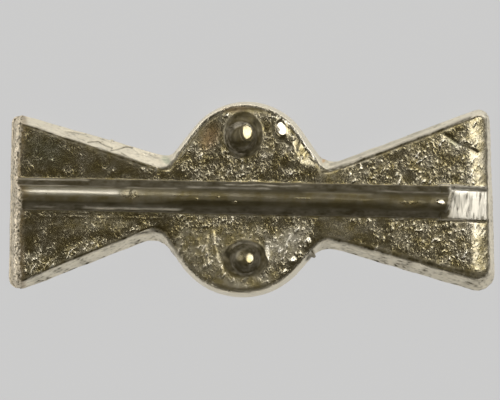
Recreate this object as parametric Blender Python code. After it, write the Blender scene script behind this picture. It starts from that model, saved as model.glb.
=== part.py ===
"""Propeller-shaped strap mount: a flared cast plate with a two-lobed middle, a half-round rib and two domed studs.

Metres, +Z up. The mount lies on its plain side with the rib and the studs up and its length along X. Its origin is
on the floor, under the middle of the plate's box. Left, right, upper and lower are as seen from above.
"""

import math
from collections import namedtuple

import bmesh
import bpy
import numpy as np

# The ends: how far their corners stand above and below the middle line, before rounding, and how far they lean out
LENGTH = 0.0600
PLATE_THICKNESS = 0.0021
LEFT_END_RISE = 0.0110
LEFT_END_DROP = 0.0118
LEFT_END_LEAN = 0.0004
RIGHT_END_RISE = 0.0119
RIGHT_END_DROP = 0.0121
RIGHT_END_LEAN = 0.0008

# The two lobes of the middle
UPPER_LOBE_CENTRE = (-0.0005, 0.0039)
UPPER_LOBE_RADIUS = 0.0083
LOWER_LOBE_CENTRE = (-0.0010, -0.0028)
LOWER_LOBE_RADIUS = 0.0093

# The waist's four corners: how far each stands outside its lobe's side, and how far from the middle line
UPPER_LEFT_WAIST = (0.0012, 0.0053)
LOWER_LEFT_WAIST = (0.0010, -0.0045)
LOWER_RIGHT_WAIST = (0.0005, -0.0057)
UPPER_RIGHT_WAIST = (0.0015, 0.0043)

# Roundings at the ends' corners and fillets at the waist's
LEFT_TOP_ROUNDING = 0.0011
LEFT_BOTTOM_ROUNDING = 0.0014
RIGHT_BOTTOM_ROUNDING = 0.0022
RIGHT_TOP_ROUNDING = 0.0014
UPPER_LEFT_FILLET = 0.0015
LOWER_LEFT_FILLET = 0.0026
LOWER_RIGHT_FILLET = 0.0027
UPPER_RIGHT_FILLET = 0.0024

# Sloping sides: how far the face's edge stands inside the foot, at the arm's end and at its waist; the right end's
# wall has one width at its lower corner and another at its upper one
UPPER_LEFT_SLOPE = (0.00105, 0.00180)
LOWER_LEFT_SLOPE = (0.00100, 0.00145)
LOWER_RIGHT_SLOPE = (0.00160, 0.00125)
UPPER_RIGHT_SLOPE = (0.00085, 0.00095)
LEFT_END_WALL = 0.0004
RIGHT_END_WALL = (0.00065, 0.00048)
LOBE_WALL = 0.0004
LOBE_WALL_SHIFT = (-0.00015, 0.00008)

# Rolled shoulders between the sides and the flat face: their width, how far they drop, and how round they are
SHOULDER_POWER = 1.5
ARM_SHOULDER = 0.00018
ARM_SHOULDER_DROP = 0.00015
LEFT_END_SHOULDER = 0.0011
RIGHT_END_SHOULDER = 0.0023
END_SHOULDER_DROP = 0.00055
LOBE_SHOULDER = 0.0007
LOBE_SHOULDER_DROP = 0.0003
FACE_CORNER_ROUNDING = 0.0003
UPPER_FACE_FILLET = 0.0007
LOWER_FACE_FILLET = 0.0013

# The foot: a narrow upright lip over a small chamfer
FOOT_HEIGHT = 0.00025
FOOT_CHAMFER = 0.00012

# Rib along the face, from the left end's shoulder to the filed flat; it runs a little aslant
RIB_WIDTH = 0.00385
RIB_HEIGHT = 0.0009
RIB_LEFT_RISE = 0.0008
RIB_RIGHT_RISE = -0.0003
RIB_LEFT_GAP = 0.0007
RIB_LEFT_ROUNDING = 0.0012
RIB_RIGHT_GAP = 0.0057
RIB_CUT_SLANT = 0.0009
RIB_CUT_RUN = 0.00045

# Filed flat between the rib and the right end: it is wider than the rib by the margins, and falls towards the end
FLAT_MARGIN = 0.00018
FLAT_START_HEIGHT = 0.00045
FLAT_END_DROP = 0.00040
FLAT_END_GAP = 0.0007

# Studs: their place along X from the lobe's centre, the gap from their collar to the lobe's rim, the collar's half
# width along X and along Y, the dome's radius, the height over the face, how far the dome stands off the collar's
# middle and its peak off the dome's own, and how full the dome is: 2 is round, more is flatter on top, less is
# more pointed
UPPER_STUD_SIDEWAYS = -0.0004
UPPER_STUD_RIM_GAP = 0.0014
UPPER_STUD_COLLAR = (0.0023, 0.0027)
UPPER_STUD_RADIUS = 0.00180
UPPER_STUD_HEIGHT = 0.0022
UPPER_STUD_DOME_SHIFT = (-0.00030, -0.00038)
UPPER_STUD_PEAK_SHIFT = (0.00045, 0.00065)
UPPER_STUD_FULLNESS = 2.6
LOWER_STUD_SIDEWAYS = 0.0003
LOWER_STUD_RIM_GAP = 0.0028
LOWER_STUD_COLLAR = (0.0026, 0.0021)
LOWER_STUD_RADIUS = 0.00175
LOWER_STUD_HEIGHT = 0.0021
LOWER_STUD_DOME_SHIFT = (0.0, 0.00005)
LOWER_STUD_PEAK_SHIFT = (0.00030, -0.00015)
LOWER_STUD_FULLNESS = 1.9
COLLAR_HEIGHT = 0.00035
SHANK_HEIGHT = 0.0003
DOME_TIP = 0.00015

# Depth to which the rib, the flat and the studs are rooted in the plate
ROOT = 0.0009

# Fineness of the faceted solid
CORNER_STEPS = 5
EDGE_STEPS = 6
FILLET_STEPS = 7
LOBE_STEPS = 40
SHOULDER_STEPS = 4
RIB_STEPS = 16
RIB_ROUNDING_STEPS = 4
STUD_SIDES = 36
COLLAR_STEPS = 2
DOME_STEPS = 7
SHARP_EDGE = math.radians(30)

BRONZE = (0.72, 0.66, 0.52, 1.0)
BRONZE_ROUGHNESS = 0.28

# One level of the plate: how far it stands inside the foot on each side, and its fillets at the waist
Level = namedtuple("Level", "arm_share left_inset right_insets lobe_inset lobe_shift fillets")


def clear_scene():
    for obj in list(bpy.data.objects):
        bpy.data.objects.remove(obj, do_unlink=True)


def bronze_material():
    material = bpy.data.materials.new("silvery_bronze")
    material.use_nodes = True
    shader = material.node_tree.nodes["Principled BSDF"]
    shader.inputs["Base Color"].default_value = BRONZE
    shader.inputs["Metallic"].default_value = 1.0
    shader.inputs["Roughness"].default_value = BRONZE_ROUGHNESS
    return material


def unit(vector):
    return vector / np.linalg.norm(vector)


def meet(line_a, line_b):
    """The point where two lines cross, each given by two of its points."""
    a, b = line_a
    c, d = line_b
    share = np.linalg.solve(np.column_stack([b - a, c - d]), c - a)[0]
    return a + (b - a) * share


def moved_in(line, start_inset, end_inset):
    """A line moved to its left, the plate's inner side, by one distance at its start and another at its end."""
    start, end = line
    along = unit(end - start)
    inward = np.array([-along[1], along[0]])
    return start + inward * start_inset, end + inward * end_inset


def arc(centre, radius, start, sweep, steps):
    angles = start + sweep * np.linspace(0.0, 1.0, steps + 1)
    return centre + radius * np.column_stack([np.cos(angles), np.sin(angles)])


def rounded_corner(before, corner, after, radius, steps):
    """The arc that rounds the corner between the way in from one point and the way out to another."""
    back = unit(before - corner)
    forth = unit(after - corner)
    half = math.acos(float(np.clip(back @ forth, -1.0, 1.0))) / 2
    centre = corner + unit(back + forth) * radius / math.sin(half)
    start = corner + back * radius / math.tan(half) - centre
    end = corner + forth * radius / math.tan(half) - centre
    first = math.atan2(start[1], start[0])
    sweep = (math.atan2(end[1], end[0]) - first + math.pi) % (2 * math.pi) - math.pi
    return arc(centre, radius, first, sweep, steps)


def touch_angle(point, centre, radius, side):
    """The angle on a circle where the line from an outside point touches it, on the side asked for."""
    across = point - centre
    return math.atan2(across[1], across[0]) + side * math.acos(radius / np.linalg.norm(across))


def lobe_arc(entry, leave, centre, radius):
    """The lobe's arc, counter-clockwise between the two lines that touch it from the waist."""
    start = touch_angle(entry, centre, radius, 1)
    end = touch_angle(leave, centre, radius, -1)
    return arc(centre, radius, start, (end - start) % (2 * math.pi), LOBE_STEPS)


def straight(start, end):
    """The points strictly between two ends of a straight edge."""
    shares = np.linspace(0.0, 1.0, EDGE_STEPS + 1)[1:-1, None]
    return start + (end - start) * shares


def end_corners():
    """The ends' four corners before rounding: upper left, lower left, lower right, upper right."""
    half = LENGTH / 2
    return [
        np.array([-half + LEFT_END_LEAN / 2, LEFT_END_RISE]),
        np.array([-half - LEFT_END_LEAN / 2, -LEFT_END_DROP]),
        np.array([half + RIGHT_END_LEAN / 2, -RIGHT_END_DROP]),
        np.array([half - RIGHT_END_LEAN / 2, RIGHT_END_RISE]),
    ]


def lobes():
    """Centre and radius of the upper lobe and of the lower one."""
    return (
        (np.array(UPPER_LOBE_CENTRE), UPPER_LOBE_RADIUS),
        (np.array(LOWER_LOBE_CENTRE), LOWER_LOBE_RADIUS),
    )


def waist_corners():
    """The waist's four corners before the fillets, in the same order as the ends' corners."""
    (upper, upper_radius), (lower, lower_radius) = lobes()
    return [
        np.array([upper[0] - upper_radius - UPPER_LEFT_WAIST[0], UPPER_LEFT_WAIST[1]]),
        np.array([lower[0] - lower_radius - LOWER_LEFT_WAIST[0], LOWER_LEFT_WAIST[1]]),
        np.array([lower[0] + lower_radius + LOWER_RIGHT_WAIST[0], LOWER_RIGHT_WAIST[1]]),
        np.array([upper[0] + upper_radius + UPPER_RIGHT_WAIST[0], UPPER_RIGHT_WAIST[1]]),
    ]


def arm_edges(level):
    """The arms' four long edges at one level, each in the outline's own direction."""
    ends = end_corners()
    waists = waist_corners()
    slopes = [UPPER_LEFT_SLOPE, LOWER_LEFT_SLOPE, LOWER_RIGHT_SLOPE, UPPER_RIGHT_SLOPE]
    edges = []
    for index, (at_end, at_waist) in enumerate(slopes):
        towards_waist = index in (1, 3)
        if towards_waist:
            line, insets = (ends[index], waists[index]), (at_end, at_waist)
        else:
            line, insets = (waists[index], ends[index]), (at_waist, at_end)
        edges.append(moved_in(line, insets[0] * level.arm_share, insets[1] * level.arm_share))
    return edges


def flanks(level):
    """The straight flanks between the waist's corners and the lobes at one level."""
    upper, lower = lobes()
    lines = []
    for waist, (centre, radius), side in zip(waist_corners(), (upper, lower, lower, upper), (-1, 1, -1, 1)):
        angle = touch_angle(waist, centre, radius, side)
        touch = centre + radius * np.array([math.cos(angle), math.sin(angle)])
        ends = (waist, touch) if side > 0 else (touch, waist)
        lines.append(moved_in(ends, level.lobe_inset, level.lobe_inset))
    return lines


def plate_outline(level):
    """The plate's outline at one level, in pieces, counter-clockwise from its upper left corner."""
    corners = end_corners()
    left_end = moved_in((corners[0], corners[1]), level.left_inset, level.left_inset)
    right_end = moved_in((corners[2], corners[3]), *level.right_insets)
    arms = arm_edges(level)
    corners = [meet(arms[0], left_end), meet(left_end, arms[1]), meet(arms[2], right_end), meet(right_end, arms[3])]
    waists = [meet(arm, flank) for arm, flank in zip(arms, flanks(level))]
    (upper, upper_radius), (lower, lower_radius) = lobes()
    lower_arc = lobe_arc(waists[1], waists[2], lower + level.lobe_shift, lower_radius - level.lobe_inset)
    upper_arc = lobe_arc(waists[3], waists[0], upper + level.lobe_shift, upper_radius - level.lobe_inset)

    radii = [
        max(radius - level.left_inset, FACE_CORNER_ROUNDING)
        for radius in (LEFT_TOP_ROUNDING, LEFT_BOTTOM_ROUNDING, RIGHT_BOTTOM_ROUNDING, RIGHT_TOP_ROUNDING)
    ]
    left_top = rounded_corner(waists[0], corners[0], corners[1], radii[0], CORNER_STEPS)
    left_bottom = rounded_corner(corners[0], corners[1], waists[1], radii[1], CORNER_STEPS)
    right_bottom = rounded_corner(waists[2], corners[2], corners[3], radii[2], CORNER_STEPS)
    right_top = rounded_corner(corners[2], corners[3], waists[3], radii[3], CORNER_STEPS)
    upper_left = rounded_corner(upper_arc[-1], waists[0], corners[0], level.fillets[0], FILLET_STEPS)
    lower_left = rounded_corner(corners[1], waists[1], lower_arc[0], level.fillets[1], FILLET_STEPS)
    lower_right = rounded_corner(lower_arc[-1], waists[2], corners[2], level.fillets[2], FILLET_STEPS)
    upper_right = rounded_corner(corners[3], waists[3], upper_arc[0], level.fillets[3], FILLET_STEPS)
    return [
        left_top,
        straight(left_top[-1], left_bottom[0]),
        left_bottom,
        straight(left_bottom[-1], lower_left[0]),
        lower_left,
        lower_arc,
        lower_right,
        straight(lower_right[-1], right_bottom[0]),
        right_bottom,
        straight(right_bottom[-1], right_top[0]),
        right_top,
        straight(right_top[-1], upper_right[0]),
        upper_right,
        upper_arc,
        upper_left,
        straight(upper_left[-1], left_top[0]),
    ]


def shoulder_drops(pieces):
    """How far the shoulder drops at each point of the outline: steady on each side, and blending at the corners."""
    end, arm, lobe = END_SHOULDER_DROP, ARM_SHOULDER_DROP, LOBE_SHOULDER_DROP
    half = [(arm, end), (end, end), (end, arm), (arm, arm), (arm, lobe), (lobe, lobe), (lobe, arm), (arm, arm)]
    return np.concatenate([np.linspace(a, b, len(piece)) for (a, b), piece in zip(half + half, pieces)])


def plate_rings():
    """The plate's rings from the underside up to the face, and the middle of its box."""
    foot_fillets = np.array([UPPER_LEFT_FILLET, LOWER_LEFT_FILLET, LOWER_RIGHT_FILLET, UPPER_RIGHT_FILLET])
    face_fillets = np.array([UPPER_FACE_FILLET, LOWER_FACE_FILLET, LOWER_FACE_FILLET, UPPER_FACE_FILLET])
    mean_slope = np.mean([UPPER_LEFT_SLOPE, LOWER_LEFT_SLOPE, LOWER_RIGHT_SLOPE, UPPER_RIGHT_SLOPE])
    shift = np.array(LOBE_WALL_SHIFT)
    foot_level = Level(0.0, 0.0, (0.0, 0.0), 0.0, np.zeros(2), foot_fillets)
    crease_level = Level(
        1.0 - ARM_SHOULDER / mean_slope,
        LEFT_END_WALL,
        RIGHT_END_WALL,
        LOBE_WALL,
        shift,
        (foot_fillets + face_fillets) / 2,
    )
    face_level = Level(
        1.0,
        LEFT_END_WALL + LEFT_END_SHOULDER,
        [wall + RIGHT_END_SHOULDER for wall in RIGHT_END_WALL],
        LOBE_WALL + LOBE_SHOULDER,
        shift,
        face_fillets,
    )
    foot_pieces = plate_outline(foot_level)
    drops = shoulder_drops(foot_pieces)
    foot = np.concatenate(foot_pieces)
    middle = (foot.min(axis=0) + foot.max(axis=0)) / 2
    foot = foot - middle
    crease = np.concatenate(plate_outline(crease_level)) - middle
    face = np.concatenate(plate_outline(face_level)) - middle

    inward = crease - foot
    inward = inward / np.linalg.norm(inward, axis=1, keepdims=True)
    rings = [
        np.column_stack([foot + inward * FOOT_CHAMFER, np.zeros(len(foot))]),
        np.column_stack([foot, np.full(len(foot), FOOT_HEIGHT)]),
    ]
    for step in range(SHOULDER_STEPS + 1):
        share = step / SHOULDER_STEPS
        place = crease + (face - crease) * share
        height = PLATE_THICKNESS - drops * (1.0 - share) ** SHOULDER_POWER
        rings.append(np.column_stack([place, height]))
    return rings, middle


def mesh_from_rings(name, rings):
    """A closed mesh from rings with the same number of points, capped at the first ring and at the last."""
    shape = bmesh.new()
    loops = [[shape.verts.new(point) for point in ring] for ring in rings]
    for lower, upper in zip(loops, loops[1:]):
        for a in range(len(lower)):
            b = (a + 1) % len(lower)
            shape.faces.new((lower[a], lower[b], upper[b], upper[a]))
    shape.faces.new(list(reversed(loops[0])))
    shape.faces.new(loops[-1])
    bmesh.ops.recalc_face_normals(shape, faces=shape.faces)
    mesh = bpy.data.meshes.new(name)
    shape.to_mesh(mesh)
    shape.free()
    mesh.shade_smooth()
    mesh.set_sharp_from_angle(angle=SHARP_EDGE)
    obj = bpy.data.objects.new(name, mesh)
    bpy.context.collection.objects.link(obj)
    return obj


def rib_line(middle):
    """The two ends of the rib's centre line, and the directions along it and across it."""
    half = LENGTH / 2
    start = np.array([-half + RIB_LEFT_GAP, RIB_LEFT_RISE]) - middle
    end = np.array([half - RIB_RIGHT_GAP, RIB_RIGHT_RISE]) - middle
    along = unit(end - start)
    return start, end, along, np.array([-along[1], along[0]])


def rib_section(centre, sideways, height):
    """A half-round across the rib at one place, closed under the face. sideways is one step across the rib."""
    radius = (RIB_HEIGHT**2 + (RIB_WIDTH / 2) ** 2) / (2 * RIB_HEIGHT)
    reach = math.asin(RIB_WIDTH / 2 / radius)
    points = []
    for angle in np.linspace(-reach, reach, RIB_STEPS + 1):
        rise = (radius * math.cos(angle) - radius + RIB_HEIGHT) * height
        place = centre + sideways * radius * math.sin(angle)
        points.append((*place, PLATE_THICKNESS + rise))
    for side in (RIB_WIDTH / 2, -RIB_WIDTH / 2):
        points.append((*(centre + sideways * side), PLATE_THICKNESS - ROOT))
    return points


def add_rib(middle):
    """The half-round rib: rounded down at the left end, cut off steeply and a little aslant at the right."""
    start, end, along, across = rib_line(middle)
    aslant = across + along * RIB_CUT_SLANT / RIB_WIDTH
    sections = []
    for step in range(RIB_ROUNDING_STEPS + 1):
        turn = math.pi / 2 * step / RIB_ROUNDING_STEPS
        place = start + along * RIB_LEFT_ROUNDING * (1.0 - math.cos(turn))
        sections.append(rib_section(place, across, math.sin(turn)))
    sections.append(rib_section((start + end) / 2, across, 1.0))
    sections.append(rib_section(end, aslant, 1.0))
    sections.append(rib_section(end + along * RIB_CUT_RUN, aslant, FLAT_START_HEIGHT / RIB_HEIGHT / 2))
    return mesh_from_rings("rib", sections)


def add_filed_flat(middle):
    """The flat that a file left between the rib and the right end, falling towards the end."""
    start, end, along, across = rib_line(middle)
    first = end - along * RIB_CUT_SLANT
    last = end + along * (RIB_RIGHT_GAP - FLAT_END_GAP)
    fall = (FLAT_START_HEIGHT + FLAT_END_DROP) / (RIB_RIGHT_GAP - FLAT_END_GAP)
    base = -ROOT - FLAT_END_DROP
    half_width = RIB_WIDTH / 2 + FLAT_MARGIN
    rings = []
    for place, top in ((first, FLAT_START_HEIGHT + fall * RIB_CUT_SLANT), (last, -FLAT_END_DROP)):
        corners = ((-half_width, base), (half_width, base), (half_width, top), (-half_width, top))
        rings.append([(*(place + across * side), PLATE_THICKNESS + height) for side, height in corners])
    return mesh_from_rings("filed_flat", rings)


def add_stud(name, place, collar, radius, height, dome_shift, peak_shift, fullness):
    """A domed stud on a low collar, whose rings drift from the collar's middle to the peak as they close in."""
    collar = np.array(collar)
    dome_shift = np.array(dome_shift)
    peak_shift = np.array(peak_shift)
    profile = [(collar, -ROOT, np.zeros(2))]
    for step in range(COLLAR_STEPS + 1):
        turn = math.pi / 2 * step / COLLAR_STEPS
        half_width = radius + (collar - radius) * math.cos(turn)
        profile.append((half_width, COLLAR_HEIGHT * math.sin(turn), dome_shift * (1.0 - math.cos(turn))))
    dome_foot = COLLAR_HEIGHT + SHANK_HEIGHT
    last_turn = math.acos((DOME_TIP / radius) ** (fullness / 2))
    for step in range(DOME_STEPS + 1):
        turn = last_turn * step / DOME_STEPS
        rise = dome_foot + (height - dome_foot) * (math.sin(turn) / math.sin(last_turn)) ** (2 / fullness)
        share = math.cos(turn) ** (2 / fullness)
        profile.append((np.full(2, radius * share), rise, dome_shift + peak_shift * (1.0 - share)))
    angles = 2 * math.pi * np.arange(STUD_SIDES) / STUD_SIDES
    rings = []
    for half_width, rise, shift in profile:
        around = place + shift + half_width * np.column_stack([np.cos(angles), np.sin(angles)])
        rings.append([(*point, PLATE_THICKNESS + rise) for point in around])
    return mesh_from_rings(name, rings)


def add_studs(middle):
    """Both studs, each set back from its lobe's rim."""
    (upper, upper_radius), (lower, lower_radius) = lobes()
    upper_reach = upper_radius - UPPER_STUD_RIM_GAP - UPPER_STUD_COLLAR[1]
    lower_reach = lower_radius - LOWER_STUD_RIM_GAP - LOWER_STUD_COLLAR[1]
    upper_place = upper + np.array([UPPER_STUD_SIDEWAYS, upper_reach]) - middle
    lower_place = lower + np.array([LOWER_STUD_SIDEWAYS, -lower_reach]) - middle
    return [
        add_stud(
            "upper_stud",
            upper_place,
            UPPER_STUD_COLLAR,
            UPPER_STUD_RADIUS,
            UPPER_STUD_HEIGHT,
            UPPER_STUD_DOME_SHIFT,
            UPPER_STUD_PEAK_SHIFT,
            UPPER_STUD_FULLNESS,
        ),
        add_stud(
            "lower_stud",
            lower_place,
            LOWER_STUD_COLLAR,
            LOWER_STUD_RADIUS,
            LOWER_STUD_HEIGHT,
            LOWER_STUD_DOME_SHIFT,
            LOWER_STUD_PEAK_SHIFT,
            LOWER_STUD_FULLNESS,
        ),
    ]


def join_to(body, piece):
    """Unites a helper with the body by a Boolean, and keeps the helper itself out of the model."""
    union = body.modifiers.new("with_" + piece.name, "BOOLEAN")
    union.operation = "UNION"
    union.solver = "EXACT"
    union.object = piece
    piece.hide_render = True
    piece.display_type = "WIRE"


def build_mount():
    rings, middle = plate_rings()
    mount = mesh_from_rings("cast_mount", rings)
    mount.data.materials.append(bronze_material())
    for piece in [add_rib(middle), add_filed_flat(middle), *add_studs(middle)]:
        join_to(mount, piece)


clear_scene()
build_mount()
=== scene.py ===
"""Looks of a small cast strap mount, seen from straight above on a pale floor.

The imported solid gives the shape. One skin takes its place: the same form remeshed finely, with the casting's
grain, the rib's flow lines, the file marks, cracks, blister and burr worked into its surface. Lengths in the
relief are millimetres in the part's own frame: +X right and +Y up in the picture. A named pair of numbers is
a range over which a thing goes from none to full. A noise is a cell in millimetres and a seed, then a way it
is drawn out in and how far. A wave is a height and a noise. Clots are a share, a soft edge and a noise.
"""

import math

import bmesh
import bpy
import numpy as np
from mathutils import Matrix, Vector


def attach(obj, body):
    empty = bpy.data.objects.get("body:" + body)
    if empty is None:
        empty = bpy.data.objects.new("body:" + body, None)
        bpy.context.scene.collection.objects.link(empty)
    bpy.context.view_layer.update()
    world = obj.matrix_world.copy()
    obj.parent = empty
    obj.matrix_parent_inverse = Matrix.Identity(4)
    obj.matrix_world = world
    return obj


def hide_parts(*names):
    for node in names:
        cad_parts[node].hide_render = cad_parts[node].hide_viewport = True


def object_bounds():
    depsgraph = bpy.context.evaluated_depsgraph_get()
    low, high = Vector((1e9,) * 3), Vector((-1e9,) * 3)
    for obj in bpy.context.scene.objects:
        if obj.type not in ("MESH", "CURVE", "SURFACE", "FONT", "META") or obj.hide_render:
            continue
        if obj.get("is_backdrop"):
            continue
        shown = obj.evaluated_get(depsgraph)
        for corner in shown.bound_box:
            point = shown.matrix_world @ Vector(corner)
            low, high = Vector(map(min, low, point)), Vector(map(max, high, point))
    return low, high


MM = 0.001

# The skin: the remesh's cell, the weld, the triangles kept, and rounds of smoothing by a share
VOXEL = 0.092
WELD = 1e-7
MOST_TRIANGLES = 194000
SMOOTHING = 0.5
EDGE_ROUNDS = 2
WORN_ROUNDS = 26
STUD_ROUNDS = 18
FACET_ROUNDS = 4

# Camera: straight above, with the picture's scale on the floor
CAMERA_HEIGHT = 450.0
PICTURE_WIDTH = 62.035
PICTURE_MIDDLE = (-0.174, -0.050)
SENSOR = 36.0
CLIP_START = 0.01
CLIP_END = 20.0

# Pixels: the one over the frame's origin, and their size on the floor and on the face
ORIGIN_PIXEL = (251.4, 199.6)
FLOOR_PIXEL = 0.12407
FACE_HEIGHT = 2.1
FACE_PIXEL = FLOOR_PIXEL * (CAMERA_HEIGHT - FACE_HEIGHT) / CAMERA_HEIGHT

# Rib, lobes and studs as the solid has them: a lobe's centre and radius, a stud's middle and half widths
RIB_START = (-29.367, 0.750)
RIB_END = (24.233, -0.350)
RIB_HALF = 1.925
RIB_SLOPE = (RIB_END[1] - RIB_START[1]) / (RIB_END[0] - RIB_START[0])
RIB_TURN = math.atan2(RIB_END[1] - RIB_START[1], RIB_END[0] - RIB_START[0])
ARM_SLANT = 0.31
UPPER_LOBE = (-0.567, 3.850, 8.3)
LOWER_LOBE = (-1.067, -2.850, 9.3)
DISC_MIDDLE = -0.35
UPPER_STUD = (-0.97, 8.05, 2.3, 2.7)
LOWER_STUD = (-0.77, -7.25, 2.6, 2.1)
DOME_FOOT = 3.0

# The noise: random directions, the primes that scatter its cells, its gain, and the shift for each seed
RANDOM = np.random.default_rng(41)
SPOKES = RANDOM.normal(size=(1024, 3))
SPOKES /= np.linalg.norm(SPOKES, axis=1, keepdims=True)
CELL_PRIMES = (73856093, 19349663, 83492791)
SEED_PRIME = 26544357
KEY_PRIME = 1540483477
NOISE_GAIN = 1.6
SEED_SHIFT = 7.31


def smoothstep(low, high, value):
    share = np.clip((value - low) / (high - low), 0.0, 1.0)
    return share * share * (3.0 - 2.0 * share)


def bell(away, width):
    """1 in the middle, falling off smoothly to both sides."""
    return np.exp(-((away / width) ** 2))


def lattice_noise(places, seed):
    """Gradient noise of unit cells, about -1 to 1."""
    cell = np.floor(places).astype(np.int64)
    part = places - cell
    fade = part * part * part * (part * (part * 6.0 - 15.0) + 10.0)
    total = np.zeros(len(places))
    for corner in range(8):
        step = np.array([corner & 1, corner >> 1 & 1, corner >> 2 & 1])
        at = cell + step
        key = seed * SEED_PRIME
        for axis, prime in enumerate(CELL_PRIMES):
            key = key ^ at[:, axis] * prime
        key = (key ^ key >> 13) * KEY_PRIME & 0xFFFFFFFF
        spoke = SPOKES[(key ^ key >> 15) & len(SPOKES) - 1]
        share = np.prod(np.where(step == 1, fade, 1.0 - fade), axis=1)
        total += share * np.einsum("ij,ij->i", spoke, part - step)
    return total * NOISE_GAIN


def plan_axes(turn):
    """The directions along and across a turn in the plan."""
    along = np.array([math.cos(turn), math.sin(turn)])
    return along, np.array([-along[1], along[0]])


def grain(places, cell, seed, turn=0.0, stretch=1.0):
    """Noise with cells of a size in millimetres, stretched along a direction in the plan."""
    along, across = plan_axes(turn)
    moved = np.column_stack(
        [places[:, :2] @ along / (cell * stretch), places[:, :2] @ across / cell, places[:, 2] / cell]
    )
    return lattice_noise(moved + seed * SEED_SHIFT, seed)


def wave(places, height, *noise):
    return height * grain(places, *noise)


def clots(places, share, edge, *noise):
    """Where a noise passes a soft edge, times a share."""
    return share * smoothstep(*edge, grain(places, *noise))


def at_least(least, share):
    """A share from 0 to 1, brought up to run from the least to 1."""
    return least + (1.0 - least) * share


def hoop(reach, share, begins, ends):
    """A ring round a stud, between two soft edges of its reach."""
    return share * smoothstep(*ends, reach) * smoothstep(*begins, reach)


def along_arms(places, cell, seed, stretch):
    """Noise drawn out along the arms' long edges."""
    rising = grain(places, cell, seed, ARM_SLANT, stretch)
    falling = grain(places, cell, seed, -ARM_SLANT, stretch)
    return np.where(places[:, 0] * places[:, 1] > 0.0, rising, falling)


def line_distance(places, line):
    """Distance in the plan to a chain of points."""
    plan = places[:, :2]
    nearest = np.full(len(plan), np.inf)
    for start, end in zip(line, line[1:]):
        start = np.array(start)
        run = np.array(end) - start
        share = np.clip((plan - start) @ run / (run @ run), 0.0, 1.0)
        nearest = np.minimum(nearest, np.linalg.norm(plan - start - share[:, None] * run, axis=1))
    return nearest


def seen(across, down):
    """The place on the face, in millimetres, that the picture shows at a pixel."""
    return (across - ORIGIN_PIXEL[0]) * FACE_PIXEL, (ORIGIN_PIXEL[1] - down) * FACE_PIXEL


def seen_crease(places, pixels, width):
    """1 along a chain of the picture's pixels, falling off over a width in millimetres."""
    return bell(line_distance(places, [seen(*pixel) for pixel in pixels]), width)


def seen_spot(places, pixel, half_long, half_short, turn, edge):
    """1 inside an ellipse of the picture's pixels, falling to 0 at its rim over the outer share given."""
    along, across = plan_axes(math.radians(turn))
    away = places[:, :2] - np.array(seen(*pixel))
    reach = np.hypot(away @ along / (half_long * FACE_PIXEL), away @ across / (half_short * FACE_PIXEL))
    return 1.0 - smoothstep(1.0 - edge, 1.0, reach)


def seen_run(x, first, last, fade=4.0):
    """1 between two pixel columns, with soft ends."""
    start, end, soft = seen(first, 0)[0], seen(last, 0)[0], fade * FACE_PIXEL
    return smoothstep(start - soft, start + soft, x) * smoothstep(end + soft, end - soft, x)


# How soft the ellipses of the tables are: the outer share of each over which it fades
PATCH_EDGE = 0.8
SPOT_EDGE = 0.45
LUMP_EDGE = 0.7
FACET_EDGE = 0.35


def patches(places, spots):
    """The sum of soft ellipses, each with its own share."""
    total = np.zeros(len(places))
    for *shape, share in spots:
        total += share * seen_spot(places, *shape, PATCH_EDGE)
    return total


def strongest(places, spots):
    """The strongest of some soft ellipses; a spot has its own edge before its share."""
    return np.maximum.reduce([share * seen_spot(places, *shape) for *shape, share in spots])


def rib_middle(x):
    return RIB_START[1] + (x - RIB_START[0]) * RIB_SLOPE


def lobe_depth(places, lobe):
    """How far inside a lobe's rim each place is."""
    return lobe[2] - np.hypot(places[:, 0] - lobe[0], places[:, 1] - lobe[1])


def right_of_disc(places, right, off_middle):
    """The disc's right side, above and below its middle."""
    return smoothstep(*right, places[:, 0]) * smoothstep(*off_middle, np.abs(places[:, 1] - DISC_MIDDLE))


def stud_reach(places, stud):
    """Distance from a stud's middle, as a share of its collar's half width."""
    return np.hypot((places[:, 0] - stud[0]) / stud[2], (places[:, 1] - stud[1]) / stud[3])


# What the normal says: facing up, not facing down, gentle, and on the rounded edge between
FACING_UP = (0.86, 0.97)
NOT_UNDER = (-0.8, -0.3)
GENTLE = (0.74, 0.90)
BELOW_FACE = (0.995, 0.93)
ABOVE_SIDE = (0.60, 0.84)
FACING_NEAR = (0.1, -0.4)

# Where the mount's parts begin and end: along X in millimetres, and across in half widths
RIB_BEGINS = (-30.2, -29.0)
RIB_ENDS = (24.2, 24.7)
FLAT_BEGINS = (24.1, 24.7)
FLAT_ENDS = (29.1, 29.3)
FLAT_RAGS = (0.32, 0.45, 139)
RIB_EDGE = (0.98, 1.08)
FLAT_EDGE = (1.04, 1.12)
STUD_EDGE = (0.95, 1.15)
DISC_EDGE = (-0.2, 0.8)
LEFT_ARM = (-8.5, -10.0)
RIGHT_ARM = (7.5, 9.5)
ABOVE_RIB = (0.0, 0.4)

# The left band's inner edge: picture columns at picture rows
LEFT_BAND_ROWS = (125, 148, 160, 182, 192, 206, 225, 277)
LEFT_BAND_COLUMNS = (22, 21, 17.5, 17.5, 23, 22, 19.5, 21)
BAND_WAVE = (0.22, 0.40, 113)
BAND_CRUMBS = (0.12, 0.2, 127)
BAND_EDGE = (0.14, -0.14)
BY_BAND = (0.75, 0.0)
BY_BAND_GAP = 0.1
BAND_WIDTH = 0.95
BAND_MOST = 1.3


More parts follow.
